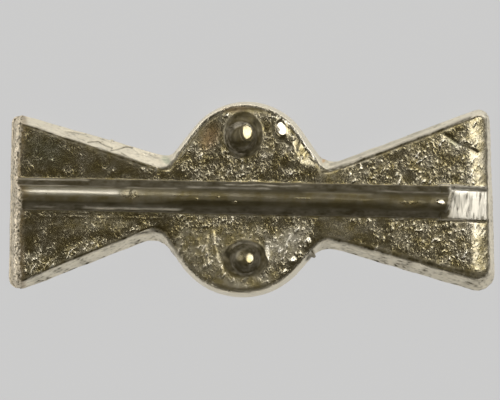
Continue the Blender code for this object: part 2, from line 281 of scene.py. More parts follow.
class Regions:
    """Soft masks of the mount's parts, read from its plain form."""

    def __init__(self, places, normals):
        self.places = places
        self.tilt = normals[:, 2]
        x, y = places[:, 0], places[:, 1]
        self.up = smoothstep(*FACING_UP, self.tilt)
        self.top = smoothstep(*NOT_UNDER, self.tilt)
        self.side = 1.0 - smoothstep(*GENTLE, np.abs(self.tilt))
        self.edge = smoothstep(*BELOW_FACE, self.tilt) * smoothstep(*ABOVE_SIDE, self.tilt)
        self.near = smoothstep(*FACING_NEAR, normals[:, 1])
        self.rib_place = (y - rib_middle(x)) / RIB_HALF
        ragged = x + wave(places, *FLAT_RAGS)
        off_middle = np.abs(self.rib_place)
        self.rib = 1.0 - smoothstep(*RIB_EDGE, off_middle)
        self.rib *= smoothstep(*RIB_BEGINS, x) * (1.0 - smoothstep(*RIB_ENDS, ragged))
        self.flat = (1.0 - smoothstep(*FLAT_EDGE, off_middle)) * smoothstep(*FLAT_BEGINS, ragged)
        self.flat *= 1.0 - smoothstep(*FLAT_ENDS, x)
        self.rim_depth = np.maximum(lobe_depth(places, UPPER_LOBE), lobe_depth(places, LOWER_LOBE))
        self.upper_stud = stud_reach(places, UPPER_STUD)
        self.lower_stud = stud_reach(places, LOWER_STUD)
        self.nearer_stud = np.minimum(self.upper_stud, self.lower_stud)
        self.stud = 1.0 - smoothstep(*STUD_EDGE, self.nearer_stud)
        plain = (1.0 - self.rib) * (1.0 - self.flat) * (1.0 - self.stud)
        self.disc = smoothstep(*DISC_EDGE, self.rim_depth) * plain
        self.left = smoothstep(*LEFT_ARM, x) * plain
        self.right = smoothstep(*RIGHT_ARM, x) * plain
        self.arms = smoothstep(*RIGHT_ARM, np.abs(x))
        self.above = smoothstep(*ABOVE_RIB, self.rib_place)
        self.read_left_band(x, y)

    def read_left_band(self, x, y):
        """The left end's pale rolled band, of uneven width, and how far out in it each place is."""
        down = ORIGIN_PIXEL[1] - y / FACE_PIXEL
        inner = seen(0, 0)[0] + np.interp(down, LEFT_BAND_ROWS, LEFT_BAND_COLUMNS) * FACE_PIXEL
        inner = inner + wave(self.places, *BAND_WAVE) + wave(self.places, *BAND_CRUMBS)
        self.end_band = smoothstep(*BAND_EDGE, x - inner)
        self.by_band = smoothstep(*BY_BAND, x - inner - BY_BAND_GAP) * (1.0 - self.end_band)
        self.out_in_band = np.clip((inner - x) / BAND_WIDTH, 0.0, BAND_MOST)


# Where the casting is rougher or calmer than around, in pixels: place, half lengths, turn in degrees, change
GRIT_PATCHES = (
    ((85, 248), 38, 11, 20, 0.75),
    ((40, 260), 22, 19, 12, 1.10),
    ((118, 226), 26, 6, 8, 0.20),
    ((142, 227), 14, 4, 6, 0.80),
    ((150, 168), 14, 7, -25, 1.40),
    ((180, 160), 14, 9, 50, 0.30),
    ((240, 167), 42, 9, 0, 0.30),
    ((264, 150), 17, 13, -60, 0.30),
    ((303, 150), 26, 6, -53, 0.45),
    ((292, 165), 15, 8, -10, -0.35),
    ((206, 133), 20, 14, 60, -0.60),
    ((281.5, 128.5), 12, 8, 100, -0.80),
    ((208, 253), 27, 14, 100, 0.60),
    ((284, 244), 34, 20, 35, 0.95),
    ((304, 246), 18, 6, 47, 0.45),
    ((243, 286), 46, 8, 0, -0.20),
    ((262, 222), 50, 6, 0, -0.20),
    ((268, 145), 12, 18, -20, 0.30),
    ((330, 176), 16, 8, 0, -0.45),
    ((362, 169), 9, 9, 0, 0.65),
    ((381, 167), 11, 11, 0, 0.75),
    ((409, 177), 10, 8, 0, -0.85),
    ((398, 156), 12, 7, 30, -0.65),
    ((455, 143), 9, 4, -30, -0.60),
    ((430, 176), 15, 9, 0, 0.70),
    ((430, 143), 16, 6, 20, 0.55),
    ((462, 160), 14, 10, 0, 0.45),
    ((405, 227), 26, 8, -8, 0.45),
    ((455, 256), 18, 8, -15, 0.45),
    ((345, 230), 40, 14, -10, -0.60),
    ((385, 246), 22, 6, -15, -0.40),
    ((440, 240), 30, 16, -15, 0.10),
)

# Roughness part by part, with clumps, and calmer on the rib, flat and studs
CLUMPS = (1.1, (-0.40, 0.45), 1.9, 3)
CLUMP_LEAST = 0.45
SMALL_CLUMPS = (0.9, 0.9, 37)
GRIT_GROUND = 0.13
GRIT_LOWER_LEFT = 0.06
GRIT_DISC = 0.24
GRIT_UPPER_DISC = 0.02
GRIT_RIGHT = 0.34
GRIT_RIGHT_FROM = (9.0, 12.5)
GRIT_SIDE = 0.25
GRIT_UNDER = 0.10
GRIT_LIMITS = (0.02, 1.3)
CALM_RIB = 0.92
CALM_FLAT = 0.9
CALM_STUD = 0.9
CALM_END = 0.55
CALM_END_RUN = (474, 500, 5.0)


def grit_map(region):
    """How rough the casting is: 0 calm, 1 as rough as the right arm."""
    places = region.places
    grit = GRIT_GROUND + region.left * (1.0 - region.above) * GRIT_LOWER_LEFT
    grit = grit + region.disc * (GRIT_DISC + GRIT_UPPER_DISC * region.above)
    grit = grit + region.right * smoothstep(*GRIT_RIGHT_FROM, places[:, 0]) * GRIT_RIGHT
    grit = grit + patches(places, GRIT_PATCHES) * region.up
    grit = grit * (CLUMP_LEAST + clots(places, *CLUMPS)) * (1.0 + wave(places, *SMALL_CLUMPS))
    grit = grit * (1.0 - CALM_RIB * region.rib) * (1.0 - CALM_FLAT * region.flat)
    grit = grit * (1.0 - CALM_STUD * region.stud)
    grit = grit * (1.0 - CALM_END * seen_run(places[:, 0], *CALM_END_RUN))
    grit = grit * (1.0 - region.side) + GRIT_SIDE * region.side
    return np.clip(grit * region.top + GRIT_UNDER * (1.0 - region.top), *GRIT_LIMITS)


LONG_CRYSTALS = (1.0, (0.15, 0.85), 0.34, 7, 1.05, 2.0)
SHORT_CRYSTALS = (0.6, (0.20, 0.85), 0.25, 11, 2.5, 1.4)


def crystals(places):
    """How far each place stands up in a crystal: 0 in the calm ground, about 1 on their tips."""
    return clots(places, *LONG_CRYSTALS) + clots(places, *SHORT_CRYSTALS)


# Torn and pitted spots along the rib: place, half lengths, turn, share
TORN_SPOTS = (
    ((130, 195), 15, 9, 0, 1.0),
    ((437, 202), 12, 6, 0, 0.9),
    ((215, 196), 60, 6, 0, 0.35),
    ((320, 200), 60, 4, 0, 0.35),
    ((406, 203), 20, 6, 0, 0.80),
)

# Fine ridges along the rib: first and last column, place across from -1 to 1, width, rise, how broken
RIB_LINES = (
    (16, 68, 0.55, 0.07, 0.018, 0.1),
    (68, 114, 0.53, 0.06, 0.010, 0.3),
    (16, 88, 0.96, 0.10, 0.020, 0.4),
    (125, 178, 0.52, 0.07, 0.016, 0.2),
    (137, 188, 0.10, 0.10, 0.016, 0.8),
    (188, 270, 0.62, 0.12, 0.012, 0.5),
    (225, 300, 0.86, 0.09, 0.016, 0.6),
    (160, 304, 1.06, 0.08, 0.040, 0.9),
    (268, 376, 0.06, 0.11, 0.027, 0.9),
    (304, 372, 0.42, 0.14, 0.012, 0.0),
    (376, 448, 0.60, 0.10, 0.008, 0.5),
    (34, 54, -0.80, 0.09, 0.020, 0.6),
    (84, 180, -0.80, 0.11, 0.022, 0.4),
    (60, 150, -1.15, 0.09, 0.014, 0.6),
    (40, 170, -1.40, 0.10, 0.014, 0.6),
    (190, 250, -1.05, 0.08, 0.014, 0.8),
)

# The rib's surface: streaks and waves, torn metal, and how the ridges waver and break
RIB_STREAKS = (0.013, 0.26, 17, RIB_TURN, 30.0)
RIB_WAVES = (0.024, 0.7, 19, RIB_TURN, 12.0)
TORN_HEIGHT = 0.07
TORN_LEVEL = 0.4
RIDGE_WAVER = (0.05, 2.5, 71)
RIDGE_BREAKS = (1.0, (-0.1, 0.3), 0.8, 73, RIB_TURN, 2.0)


def rib_relief(region):
    """Lines drawn along the rib, its ledges and the torn spots."""
    places = region.places
    height = (wave(places, *RIB_STREAKS) + wave(places, *RIB_WAVES)) * region.rib
    height += TORN_HEIGHT * patches(places, TORN_SPOTS) * (crystals(places) - TORN_LEVEL) * region.rib
    for rise, share in rib_ridges(region):
        height += rise * share
    return height


def rib_ridges(region):
    """Each fine ridge's rise and where it runs."""
    places = region.places
    waver = wave(places, *RIDGE_WAVER)
    whole = clots(places, *RIDGE_BREAKS)
    for first, last, place, width, rise, broken in RIB_LINES:
        away = (region.rib_place - place - waver) * RIB_HALF
        share = seen_run(places[:, 0], first, last) * (1.0 - broken + broken * whole)
        yield rise, share * bell(away, width)


# Rings on the studs' flanks, in collar half widths, and the collars' lumps
RING_WOBBLE = (0.06, 0.8, 43)
RING_PITCH = 0.14
RINGS = (0.0012, (0.45, 0.6), (1.05, 0.95))
COLLAR_BEGINS = (0.62, 0.85)
COLLAR_LUMPS = (0.035, 0.75, 83)
COLLAR_CRUMBS = (0.020, 0.34, 131)


def stud_relief(region):
    """Fine rings on the studs' flanks, and the lumpy skin of their collars."""
    places = region.places
    wobble = wave(places, *RING_WOBBLE)
    height = np.zeros(len(places))
    for reach in (region.upper_stud, region.lower_stud):
        height += np.sin((reach + wobble) * 2.0 * math.pi / RING_PITCH) * hoop(reach, *RINGS)
    collars = smoothstep(*COLLAR_BEGINS, region.nearer_stud) * region.stud
    return height + collars * (wave(places, *COLLAR_LUMPS) + wave(places, *COLLAR_CRUMBS))


# The roll of the disc's face before its rim
ROLL_DEPTH = 0.20
ROLL_SIDE = ((2.5, 6.0), (4.4, 6.2))
ROLL_INSIDE_RIM = (-0.6, 0.2)
ROLL_NEAR_RIM = (2.0, 0.7)
ROLL_BELOW_SHARE = 0.35


def rim_roll(region):
    """The disc's face rolls off before its rim on the right, most above the rib."""
    rightwards = right_of_disc(region.places, *ROLL_SIDE)
    rightwards = rightwards * np.where(region.places[:, 1] > 0.0, 1.0, ROLL_BELOW_SHARE)
    inside = smoothstep(*ROLL_INSIDE_RIM, region.rim_depth)
    return -ROLL_DEPTH * rightwards * inside * smoothstep(*ROLL_NEAR_RIM, region.rim_depth) * region.up


# The blister and small facets whose tops face a little to the right: place, half lengths, turn, rise, lean
FACETS = (
    ((281.5, 128.5), 10.0, 6.5, 100, 0.12, 0.16),
    ((308, 240.5), 5.0, 3.8, 30, 0.05, 0.22),
    ((293.5, 259), 5.0, 3.4, 45, 0.04, 0.22),
    ((285.5, 271), 5.0, 2.4, 35, 0.03, 0.20),
    ((267.5, 252), 11.0, 3.2, 95, 0.04, 0.22),
    ((440.5, 201.8), 5.5, 2.8, -8, 0.03, 0.20),
)
FACET_SPOTS = tuple((*facet[:4], SPOT_EDGE, 1.0) for facet in FACETS)
FACET_BEARING = math.radians(22.0)
FACET_WAY = (math.cos(FACET_BEARING), math.sin(FACET_BEARING))

# Creases that also hold soil, and the flat's two edges that hold painted shade: their points in pixels
END_CRACK = ((446, 136), (458, 144), (468, 148), (477, 153))
UPPER_FLAT_EDGE = ((452, 188.5), (468, 189.5), (486, 190.5))
LOWER_FLAT_EDGE = ((452, 221), (470, 221), (486, 222))
DISC_HOOK = ((285, 141), (290, 146), (287, 152))
DISC_CRACK = ((290, 126), (300, 140), (297, 150))
BLISTER_FOOT = ((273, 118), (272, 130), (277, 141), (286, 142))
ARM_CRACK = ((88, 142), (98, 141), (105, 145), (112, 148))
ARM_CRACK_ON = ((111, 150), (118, 149), (125, 146.5), (132, 147.5))
ARM_BRANCH = ((121, 153), (135, 161))
ARM_SCRATCH = ((65, 131), (74, 132), (85, 134))
NEAR_LOOP = ((340, 243), (358, 246), (375, 249), (378, 252), (366, 254), (346, 248))

# Creases and cracks: their points in pixels, width and depth in millimetres; a negative depth is a ridge
CREASES = (
    (END_CRACK, 0.26, 0.07),
    (DISC_HOOK, 0.14, 0.07),
    (DISC_CRACK, 0.16, 0.06),
    (BLISTER_FOOT, 0.14, 0.015),
    (((221, 116), (219.5, 128), (219, 140)), 0.13, 0.008),
    (ARM_SCRATCH, 0.08, 0.06),
    (ARM_CRACK, 0.08, 0.08),
    (ARM_CRACK_ON, 0.08, 0.08),
    (ARM_BRANCH, 0.07, 0.05),
    (((131, 148), (143, 155)), 0.07, 0.04),
    (UPPER_FLAT_EDGE, 0.13, 0.10),
    (LOWER_FLAT_EDGE, 0.11, 0.08),
    (((213, 232), (214, 245), (217, 258), (223, 275)), 0.19, -0.065),
    (((207, 237), (205, 249), (208, 263)), 0.20, -0.055),
    (((201, 246), (202, 256), (206, 267)), 0.17, -0.045),
    (((198, 240), (200, 250)), 0.15, -0.035),
    (((221, 148), (223, 157)), 0.12, -0.035),
    (((267, 243), (270, 252), (267, 262)), 0.22, -0.05),
    (NEAR_LOOP, 0.10, 0.05),
)

# Knobs, specks and the burr: place, half lengths and turn in the picture, and how far they stand up
LUMPS = (
    ((295, 136), 7, 4, 55, 0.08),
    ((111.7, 139.5), 3.0, 2.6, 0, 0.16),
    ((311.5, 254), 3.4, 2.4, 45, 0.60),
    ((218, 197), 2.0, 1.5, 0, 0.05),
    ((235.5, 202), 1.8, 1.3, 0, 0.05),
    ((197, 199), 1.6, 1.3, 0, 0.04),
    ((132, 230), 3.0, 1.8, 40, 0.08),
)

# Heights of the relief in millimetres
CRYSTAL_RISE = 0.082
CRYSTALS_RIGHT = 0.012
SWELLS = (0.045, 1.15, 5, 0.9, 1.3)
SAGS = (0.03, 6.0, 13)
SPECKS = (0.014, (0.50, 0.80), 0.26, 61)
FILE_MARKS = (0.005, 0.16, 29, math.pi / 2 - 0.04, 16.0)
DEEP_FILE_MARKS = ((0.25, 0.6), 0.22, 59, math.pi / 2 - 0.08, 9.0)
DEEP_FILE_DEPTH = 0.012
SIDE_STREAKS = (0.38, 47, 4.0)
SIDE_STREAK_RISE = 0.045
SIDE_WAVES = (1.1, 53, 2.5)
SIDE_WAVE_RISE = 0.06
DISC_SIDE_SHARE = 0.2
BAND_LUMPS = (0.060, 0.34, 89)
BAND_ROLL = 0.24
BAND_ROLL_POWER = 1.4


def relief(region, grit, tips):
    """How far the surface stands out of the plain form, in millimetres."""
    places = region.places
    face = region.up * (1.0 - region.rib) * (1.0 - region.flat)
    height = (CRYSTAL_RISE + CRYSTALS_RIGHT * region.right) * grit * tips
    height += wave(places, *SWELLS) * np.clip(grit, 0.0, 1.0)
    height += wave(places, *SAGS)
    height += clots(places, *SPECKS) * face
    height += rib_relief(region) + rim_roll(region) + stud_relief(region)
    filed = wave(places, *FILE_MARKS) - clots(places, DEEP_FILE_DEPTH, *DEEP_FILE_MARKS)
    height += region.flat * region.top * filed

    rough_side = SIDE_STREAK_RISE * along_arms(places, *SIDE_STREAKS)
    rough_side = rough_side + SIDE_WAVE_RISE * along_arms(places, *SIDE_WAVES)
    height += at_least(DISC_SIDE_SHARE, region.arms) * region.side * rough_side
    rolled = wave(places, *BAND_LUMPS) - BAND_ROLL * region.out_in_band ** BAND_ROLL_POWER
    height += region.end_band * region.top * rolled

    for pixels, width, depth in CREASES:
        height -= depth * seen_crease(places, pixels, width) * region.top
    for *shape, rise in LUMPS:
        height += rise * seen_spot(places, *shape, LUMP_EDGE) * region.top
    for *shape, rise, lean in FACETS:
        away = (places[:, :2] - np.array(seen(*shape[0]))) @ np.array(FACET_WAY)
        height += seen_spot(places, *shape, FACET_EDGE) * (rise - lean * away)
    return height


# Lines where soil and tarnish stayed in cracks, and lines of painted shade along the arms' edges, the right
# end, the left rim and the flat's edges: points in pixels, width in millimetres, share
SOIL_AND_SHADE_LINES = (
    (((23, 125), (40, 129.8), (62, 137.8), (158, 170), (168, 168)), 0.21, 0.85),
    (((22, 281), (59, 264), (132, 235), (156, 231), (166, 234)), 0.22, 0.90),
    (((322, 172), (356, 162.5), (440, 130.5), (470, 118)), 0.25, 0.85),
    (((330, 165), (372, 151), (440, 124)), 0.22, 0.35),
    (((326, 237), (356, 245), (440, 266), (484, 276)), 0.42, 0.85),
    (((486.5, 118), (487.5, 200), (488, 276)), 0.12, 0.70),
    (((312, 252), (311, 255), (308, 259)), 0.30, 0.95),
    (((13, 124), (12, 160), (11.3, 200), (10.8, 250), (10.3, 280)), 0.10, 0.50),
    (((221, 116), (219.5, 128), (219, 140), (222, 149)), 0.14, 0.45),
    (END_CRACK, 0.22, 0.40),
    (UPPER_FLAT_EDGE, 0.16, 0.85),
    (((451, 186), (468, 186.8), (485, 187.6)), 0.15, 0.75),
    (LOWER_FLAT_EDGE, 0.14, 0.75),
    (DISC_HOOK, 0.18, 0.80),
    (DISC_CRACK, 0.18, 0.75),
    (BLISTER_FOOT, 0.16, 0.80),
    (ARM_CRACK, 0.09, 0.75),
    (ARM_CRACK_ON, 0.09, 0.70),
    (ARM_BRANCH, 0.08, 0.55),
    (ARM_SCRATCH, 0.09, 0.50),
    (NEAR_LOOP, 0.09, 0.45),
    (((226, 112), (236, 108), (250, 109)), 0.16, 0.55),
)

# Painted highlights: bare metal among the soil and painted shade, where the studs' highlights and the rib's
# glints show: place, half lengths, turn, soft edge, share
HIGHLIGHT_SPOTS = (
    ((247.3, 131.8), 10.0, 6.0, 100, SPOT_EDGE, 1.0),
    ((238, 126), 6, 5, 60, SPOT_EDGE, 0.30),
    ((249.8, 258.8), 6.6, 4.4, 90, SPOT_EDGE, 1.0),
    ((240.5, 255.5), 6.5, 5.5, 60, SPOT_EDGE, 0.45),
    ((440.5, 201.8), 6.5, 2.8, -8, SPOT_EDGE, 0.9),
    ((413, 202.5), 16, 2.6, 0, SPOT_EDGE, 0.5),
    ((218, 197), 2.2, 1.7, 0, SPOT_EDGE, 0.9),
    ((235.5, 202), 2.0, 1.6, 0, SPOT_EDGE, 0.9),
    ((197, 199), 2.0, 1.6, 0, SPOT_EDGE, 0.8),
)

# Soil in the face's hollows; painted shade along the edges and round the disc's rim, except on its lit right
# side
SOIL_SHADE = (1.4, 31)
HOLLOW_SOIL = 0.30
HOLLOW_SOIL_RIGHT = 0.06
HOLLOWS = (0.25, 0.0)
HOLLOW_GAIN = 1.5
EDGE_SHADE = 0.12
EDGE_SHADE_NEAR = 0.10
EDGE_SHADE_ARMS = 0.26
RIM_SHADE = 0.62
RIM_OUTER = (0.9995, 0.994)
RIM_INNER = (0.93, 0.965)
LIT_RIM_SIDE = ((0.5, 4.0), (4.0, 6.0))
DISC_SIDE_SOIL = 0.06
SOIL_SPOTS = (((220.5, 143), 7, 3.5, 100, 0.8, 0.75),)

# How uneven all soil and painted shade is, and how far the facets are left bare of them, as painted highlight
UNEVEN = 0.45
FINE_UNEVEN = (0.35, 0.35, 97)
EVEN_RIB = 0.85
EVEN_STUD = 0.7
FACET_HIGHLIGHT = 0.7


def soil_and_shade_mask(region, grit, tips):
    """Brown soil and dark tarnish in the hollows and creases; painted shade along the edges, round the disc's
    rim, on the rib and on the studs, left off where the painted highlights are.
    """
    places = region.places
    shade = grain(places, *SOIL_SHADE)
    layers = [face_soil(region, grit, tips), edge_painted_shade(region), rim_painted_shade(region), rib_shade_and_highlight(region)]
    layers += [side_stains_and_shade(region) * region.arms, DISC_SIDE_SOIL * region.side * (1.0 - region.arms)]
    layers += [stud_painted_shade(region), strongest(places, SOIL_SPOTS), flat_soil(region)]
    layers += band_soil(region, shade)
    # lines of soil in the cracks and of painted shade along the edges and grooves
    layers += [share * seen_crease(places, pixels, width) * region.top for pixels, width, share in SOIL_AND_SHADE_LINES]
    uneven = UNEVEN * shade + wave(places, *FINE_UNEVEN)
    uneven = uneven * (1.0 - EVEN_RIB * region.rib) * (1.0 - EVEN_STUD * region.stud)
    bare = np.maximum(strongest(places, HIGHLIGHT_SPOTS), FACET_HIGHLIGHT * strongest(places, FACET_SPOTS))
    return np.clip(np.maximum.reduce(layers) * (1.0 + uneven) * (1.0 - bare), 0.0, 1.0)


def face_soil(region, grit, tips):
    """Soil between the crystals of the face."""
    share = HOLLOW_SOIL + HOLLOW_SOIL_RIGHT * region.right
    return share * smoothstep(*HOLLOWS, tips) * np.clip(HOLLOW_GAIN * grit, 0.0, 1.0) * region.up


def edge_painted_shade(region):
    """Painted shade along the edges between the face and the sides, heavier on the near sides and on the arms.
    """
    share = EDGE_SHADE + EDGE_SHADE_NEAR * region.near + EDGE_SHADE_ARMS * region.arms
    return share * region.edge * (1.0 - region.rib) * (1.0 - region.stud) * (1.0 - region.end_band)


def rim_painted_shade(region):
    """Painted shade where the disc's face begins to fall to its rim, left off on its lit right side."""
    falling = smoothstep(*RIM_OUTER, region.tilt) * smoothstep(*RIM_INNER, region.tilt)
    falling = falling * (1.0 - region.arms)
    lit_side = right_of_disc(region.places, *LIT_RIM_SIDE)
    return RIM_SHADE * falling * (1.0 - lit_side) * (1.0 - region.rib) * (1.0 - region.stud) * region.top


# Soil between the file marks, and speckled over their left end
FILE_SOIL = 0.12
DEEP_FILE_SOIL = 0.34
FINE_FILE_SOIL = (0.30, (0.0, 0.5), 0.15, 29, math.pi / 2 - 0.04, 10.0)
FILE_END_SOIL = 0.12
FILE_END_SPECKS = (0.50, (-0.1, 0.4), 0.22, 101)
FILE_END_RUN = (440, 459)


def flat_soil(region):
    """Soil in the filed flat."""
    places = region.places
    soil_and_shade = FILE_SOIL + clots(places, DEEP_FILE_SOIL, *DEEP_FILE_MARKS) + clots(places, *FINE_FILE_SOIL)
    soil_and_shade += (FILE_END_SOIL + clots(places, *FILE_END_SPECKS)) * seen_run(places[:, 0], *FILE_END_RUN)
    return region.flat * soil_and_shade


# The left band's soil: along its edge, in specks, all over it, and beside it
BAND_EDGE_SOIL = 0.55
BAND_SPECKS = (1.0, (0.05, 0.4), 0.26, 103)
BAND_SPECK_SOIL = 0.72
INNER_SPECK_SOIL = 0.35
INNER_EDGE_PLACE = 0.05
INNER_EDGE_GAIN = 1.3
INNER_EDGE_RANGE = (0.55, 0.10)
INNER_EDGE_END = -27.5
BAND_SOIL = 0.16
BAND_SHADE = 0.12
BY_BAND_SOIL = 0.45


def band_soil(region, shade):
    """The layers of soil on the left band and beside it."""
    band_edge = region.end_band * (1.0 - region.end_band) * 4.0
    specks = clots(region.places, *BAND_SPECKS)
    off_inner_edge = np.abs(region.out_in_band - INNER_EDGE_PLACE) * INNER_EDGE_GAIN
    inner_edge = smoothstep(*INNER_EDGE_RANGE, off_inner_edge) * (region.places[:, 0] < INNER_EDGE_END)
    return [
        band_edge * BAND_EDGE_SOIL * region.top,
        (INNER_SPECK_SOIL * inner_edge + BAND_SPECK_SOIL) * specks * region.end_band * region.top,
        (BAND_SOIL + BAND_SHADE * shade) * region.end_band * region.top,
        BY_BAND_SOIL * region.by_band * region.top * (1.0 - region.rib),
    ]


# Bands along the rib, the painted highlight streak and painted shade: share, edges across it from -1 to 1, and
# columns in the picture with their fade
HIGHLIGHT_STREAK = (1.0, ((-0.12, 0.10), (0.52, 0.30)), (26, 120, 7.0))
CREST = (0.20, ((0.60, 0.35),), (190, 500, 12.0))
DEEP_BAND = (0.35, ((-0.15, -0.35), (-0.80, -0.55)), (170, 330, 20.0))
LEDGE = (0.30, ((0.58, 0.64), (0.92, 0.86)), (16, 88))

# The rest of the rib's painted shade, left off on its ridges and torn spots, and the painted dark lines along
# its feet
RIB_SHADE_GROUND = 0.55
RIB_LOWER_HALF = 0.20
RIB_LOWER_RANGE = (0.05, -0.35)
RIB_FLANKS = 0.42
RIB_FLANK_RANGE = (0.30, 0.62)
RIB_MOST_SHADE = 0.94
RIDGE_BARE_GAIN = 30.0
RIDGE_MOST_BARE = 0.9
TORN_BARE = 0.5
RIB_OFF_BAND = 0.8
FOOT_SHADE = 0.80
FEET_RUN = (19, 452, 3.0)
UPPER_FOOT = 1.0
UPPER_FOOT_WIDTH = 0.07
LOWER_FOOT = -1.03
LOWER_FOOT_WIDE = 0.12
LOWER_FOOT_LEAST = 0.45
LOWER_FOOT_RUN = (170, 500, 30.0)


def rib_band(region, share, edges, run):
    for edge in edges:
        share = share * smoothstep(*edge, region.rib_place)
    return share * seen_run(region.places[:, 0], *run)


def highlight_streak(region):
    """Painted highlight: the bare metal along the crest of the rib's left part, where the crest's highlight
    shows.
    """
    return rib_band(region, *HIGHLIGHT_STREAK) * region.rib


def rib_shade_and_highlight(region):
    """Painted shade on the rib: bare along the painted highlight on its crest at the left, darkened elsewhere,
    with painted dark lines along its feet.
    """
    x = region.places[:, 0]
    place = region.rib_place
    darkened = RIB_SHADE_GROUND + rib_band(region, *CREST) + RIB_LOWER_HALF * smoothstep(*RIB_LOWER_RANGE, place)
    darkened = darkened + RIB_FLANKS * smoothstep(*RIB_FLANK_RANGE, np.abs(place))
    darkened = darkened + rib_band(region, *DEEP_BAND) + rib_band(region, *LEDGE)
    bare = highlight_streak(region)
    for rise, share in rib_ridges(region):
        bare = np.maximum(bare, min(RIDGE_BARE_GAIN * rise, RIDGE_MOST_BARE) * share)
    bare = np.maximum(bare, TORN_BARE * np.clip(patches(region.places, TORN_SPOTS), 0.0, 1.0))
    soil_and_shade = np.minimum(darkened, RIB_MOST_SHADE) * (1.0 - bare) * region.rib
    soil_and_shade = soil_and_shade * (1.0 - RIB_OFF_BAND * region.end_band)
    upper_foot = bell(place - UPPER_FOOT, UPPER_FOOT_WIDTH)
    lower_foot = bell(place - LOWER_FOOT, LOWER_FOOT_WIDE)
    lower_foot = lower_foot * at_least(LOWER_FOOT_LEAST, seen_run(x, *LOWER_FOOT_RUN))
    feet = FOOT_SHADE * seen_run(x, *FEET_RUN) * np.maximum(upper_foot, lower_foot)
    return np.maximum(soil_and_shade, feet * region.top * (1.0 - region.end_band))


# Stains of the sloping sides, and painted shade that makes the near sides darker
STAIN_GROUND = 0.03
STAIN_STREAKS = (0.45, 61, 5.0)
STREAK_EDGE = (-0.05, 0.5)
STREAK_SHARE = 0.22
STAIN_CLOUDS = (1.0, (-0.1, 0.6), 1.8, 107)
CLOUD_SHARE = 0.12
STAIN_SPECKS = (0.28, 67, 1.8)
SPECK_EDGE = (0.28, 0.5)
SPECK_SHARE = 0.75
SPECK_LEAST = 0.40
SPECKS_NEAR = 0.10
STAIN_FOOT = (0.9, 0.2)
STAIN_ABOVE_FOOT = 0.6
NEAR_SHADE_GAIN = 0.5
NEAR_SIDE_SHADE = 0.06
NEAR_SIDE_SHADE_RIGHT = 0.10
STAIN_RIGHT = (0.0, 8.0)


def side_stains_and_shade(region):
    """Stains on the arms' sloping sides: streaks and specks, darker towards the foot, with painted shade that
    makes the near sides heavier.
    """
    places = region.places
    streaks = smoothstep(*STREAK_EDGE, along_arms(places, *STAIN_STREAKS))
    clouds = clots(places, *STAIN_CLOUDS)
    specks = along_arms(places, *STAIN_SPECKS) + SPECKS_NEAR * region.near
    specks = smoothstep(*SPECK_EDGE, specks) * at_least(SPECK_LEAST, clouds)
    foot = smoothstep(*STAIN_FOOT, places[:, 2])
    right = smoothstep(*STAIN_RIGHT, places[:, 0])
    stain_and_shade = STAIN_GROUND + STREAK_SHARE * streaks * clouds + CLOUD_SHARE * clouds
    stain_and_shade = stain_and_shade + SPECK_SHARE * specks
    stain_and_shade = stain_and_shade * at_least(STAIN_ABOVE_FOOT, foot) * (1.0 + NEAR_SHADE_GAIN * region.near)
    stain_and_shade = stain_and_shade + NEAR_SIDE_SHADE * region.near + NEAR_SIDE_SHADE_RIGHT * right * region.near
    return region.side * region.top * stain_and_shade


# Painted shade on the studs: their darkened domes, the upper one's darker lower half, and their collars, in
# collar half widths
DOME_END = (0.92, 0.84)
DOME_SHADE = 0.74
DOME_FLANK_SHADE = 0.19
DOME_FLANKS = (0.97, 0.89)
LOWER_HALF_SHADE = 0.93
LOWER_HALF_MIDDLE = 7.28
LOWER_HALF_RANGE = (0.10, -0.08)
LOWER_HALF_END = (0.80, 0.70)
UPPER_COLLAR = (0.80, (0.60, 0.72), (1.12, 1.0))
LOWER_COLLAR = (0.82, (0.62, 0.74), (1.15, 1.02))
COLLAR_CLOUDS = (0.30, 0.6, 137)


def stud_painted_shade(region):
    """Painted shade on the studs: darkened domes, lower halves and collars."""
    places = region.places
    dome = smoothstep(*DOME_END, region.nearer_stud) * region.stud
    dome = dome * (DOME_SHADE + DOME_FLANK_SHADE * smoothstep(*DOME_FLANKS, region.tilt))
    below = smoothstep(*LOWER_HALF_RANGE, places[:, 1] - LOWER_HALF_MIDDLE)
    below = below * smoothstep(*LOWER_HALF_END, region.upper_stud)
    collars = np.maximum(hoop(region.upper_stud, *UPPER_COLLAR), hoop(region.lower_stud, *LOWER_COLLAR))
    collars = collars * (1.0 + wave(places, *COLLAR_CLOUDS))
    return np.maximum.reduce([dome, LOWER_HALF_SHADE * below, collars])


# Olive tarnish: its share, and how much less there is of it in some places, partly as painted highlight on the
# facets, the rib's streak and the lit right end
OLIVE_SHARE = 0.86
OLIVE_CLOUDS = (0.30, 1.7, 31)
OLIVE_OFF_TIPS = 0.75
OLIVE_OFF_END = 0.12
OLIVE_END_RUN = (466, 500, 8.0)
OLIVE_THIN = 0.30
OLIVE_THIN_SPOT = ((284, 245), 36, 20, 35, 0.7)
OLIVE_OFF_FACETS = 0.4
OLIVE_OFF_STREAK = 0.7
OLIVE_OFF_BAND = 0.7
OLIVE_STUD = 0.85
OLIVE_SIDE = 0.15


